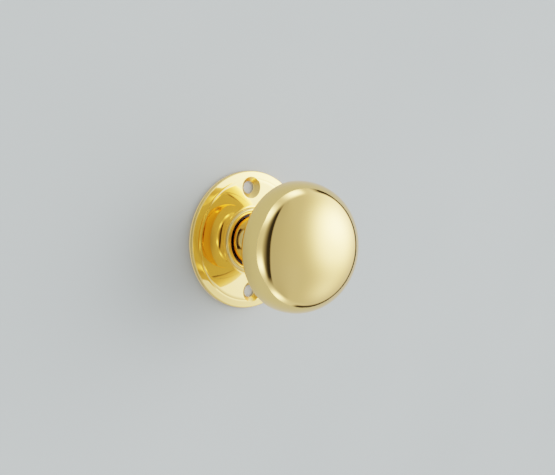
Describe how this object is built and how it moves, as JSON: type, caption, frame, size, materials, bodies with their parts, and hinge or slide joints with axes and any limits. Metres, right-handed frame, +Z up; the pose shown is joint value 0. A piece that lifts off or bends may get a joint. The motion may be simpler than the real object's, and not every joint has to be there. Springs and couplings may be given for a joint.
{
  "type": "door knob",
  "caption": "Round polished brass cushion door knob that turns in a face-fixed round rose, with a return spring set behind the rose and a square spindle.",
  "frame": {"origin": "centre of the rose's back face, on the knob's axis, where the rose lies on the door", "axes": "-Y out of the door along the knob's axis, +Y into the door along the spindle, +Z up through the top screw hole, +X to the right as seen from in front of the door"},
  "size_m": [0.056, 0.1274, 0.056],
  "materials": {
    "polished_brass": "mirror polished and lacquered",
    "zinc_plated_steel": "bright zinc plate, satin",
    "spring_steel": "dark phosphated spring steel",
    "nylon": "black nylon, matt"
  },
  "bodies": {
    "rose": {"rose": "polished_brass", "bearing_bush": "nylon", "thrust_washer": "zinc_plated_steel", "spring_housing": "zinc_plated_steel", "return_spring": "spring_steel", "housing_cover": "zinc_plated_steel", "stop_pin": "zinc_plated_steel", "housing_screw_left": "zinc_plated_steel", "housing_screw_right": "zinc_plated_steel"},
    "knob": {"knob_neck": "polished_brass", "knob_face": "polished_brass", "knob_back": "polished_brass", "neck_washer": "zinc_plated_steel", "grub_screw": "zinc_plated_steel", "spindle": "zinc_plated_steel", "drive_plate": "zinc_plated_steel", "wave_washer": "spring_steel", "circlip": "spring_steel"}
  },
  "joints": [
    {"name": "knob_turn", "type": "hinge", "parent": "rose", "child": "knob", "pos_m": [0, 0, 0], "axis": [0, -1, 0], "range_deg": [-50, 50], "stiffness_Nm_per_rad": 0.3, "deforming": ["return_spring"]}
  ]
}
